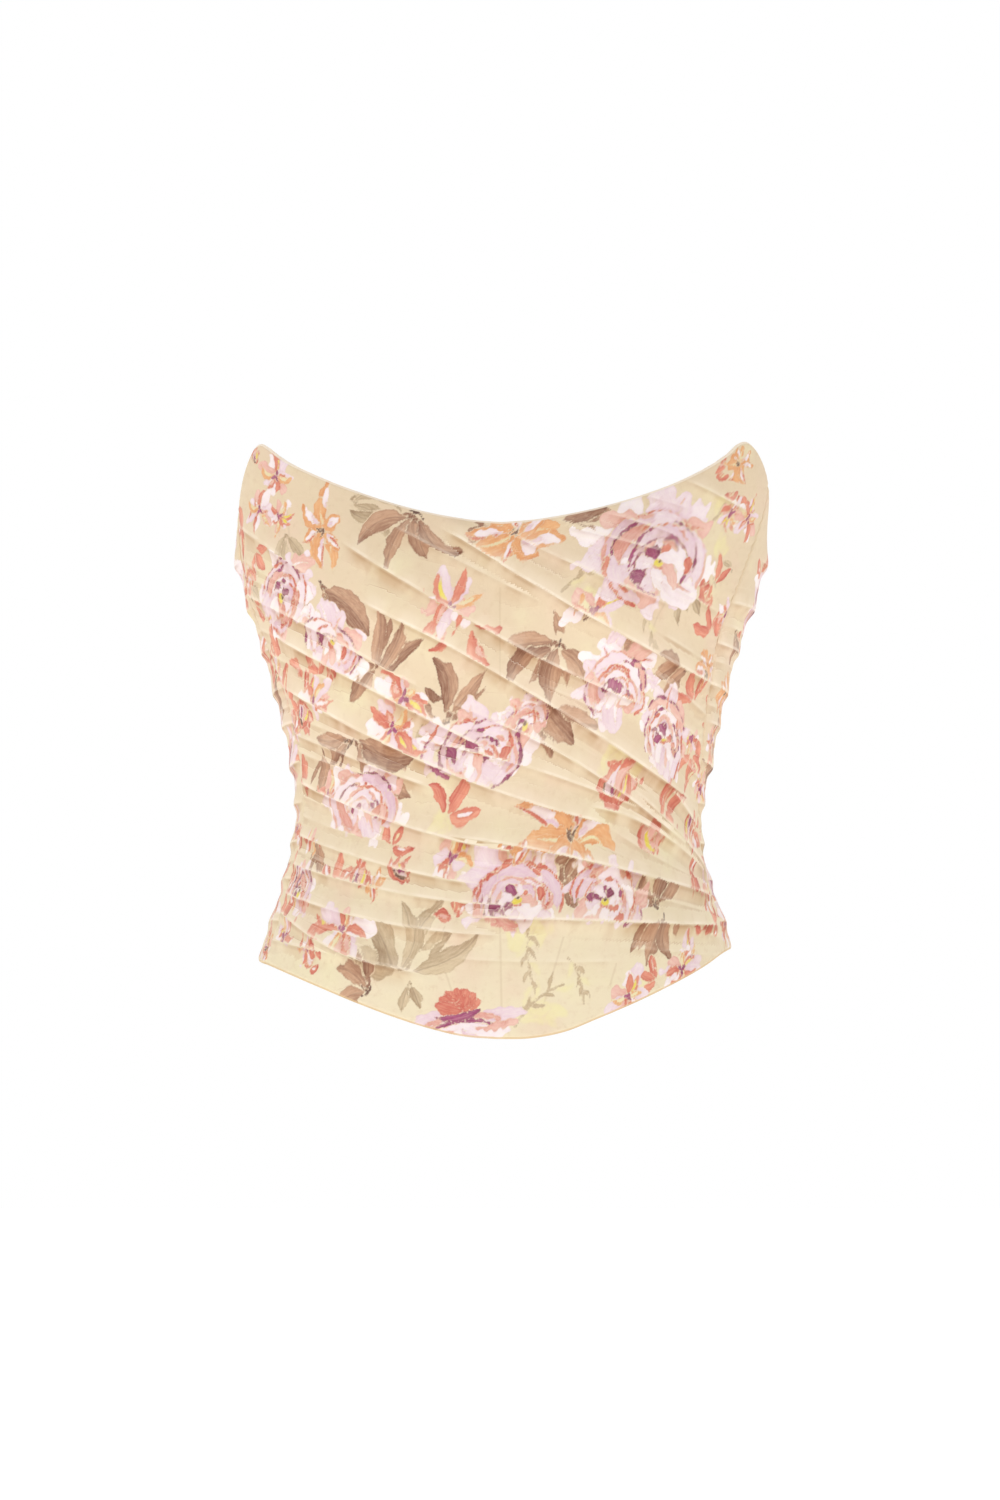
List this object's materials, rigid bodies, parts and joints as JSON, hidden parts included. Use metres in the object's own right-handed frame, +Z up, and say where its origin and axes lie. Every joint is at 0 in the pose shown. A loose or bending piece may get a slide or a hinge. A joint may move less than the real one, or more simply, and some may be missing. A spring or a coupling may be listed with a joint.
{
  "type": "strapless corset top",
  "caption": "Strapless corset top kept in its worn hollow form: front draped in slanting folds over a boned base, gathered side backs, pointed hem, centre-back zip with a swinging pull tab.",
  "frame": {"origin": "middle of the waist, where the wearer holds the top up", "axes": "+Z up through the open top, -Y out of the draped front, +X to the right as seen from the front"},
  "size_m": [0.2945, 0.218, 0.3203],
  "materials": {
    "printed_cloth": "sheer fine cloth over a cream base, printed with watercolour flowers",
    "bone_casing": "cream woven tape",
    "zip_enamel": "cream enamel, satin"
  },
  "bodies": {
    "bodice": {"front_drape": "printed_cloth", "side_back_left": "printed_cloth", "side_back_right": "printed_cloth", "back_left": "printed_cloth", "back_right": "printed_cloth", "casing_front_centre": "bone_casing", "casing_princess_left": "bone_casing", "casing_princess_right": "bone_casing", "casing_outer_left": "bone_casing", "casing_outer_right": "bone_casing", "casing_back_left": "bone_casing", "casing_back_right": "bone_casing", "casing_zip_left": "bone_casing", "casing_zip_right": "bone_casing", "zip_tape": "bone_casing", "zip_slider": "zip_enamel"},
    "pull": {"zip_pull": "zip_enamel"}
  },
  "joints": [
    {"name": "pull_swing", "type": "hinge", "parent": "bodice", "child": "pull", "pos_m": [0, 0.09218, 0.114], "axis": [1, 0, 0], "range_deg": [0, 150]}
  ]
}
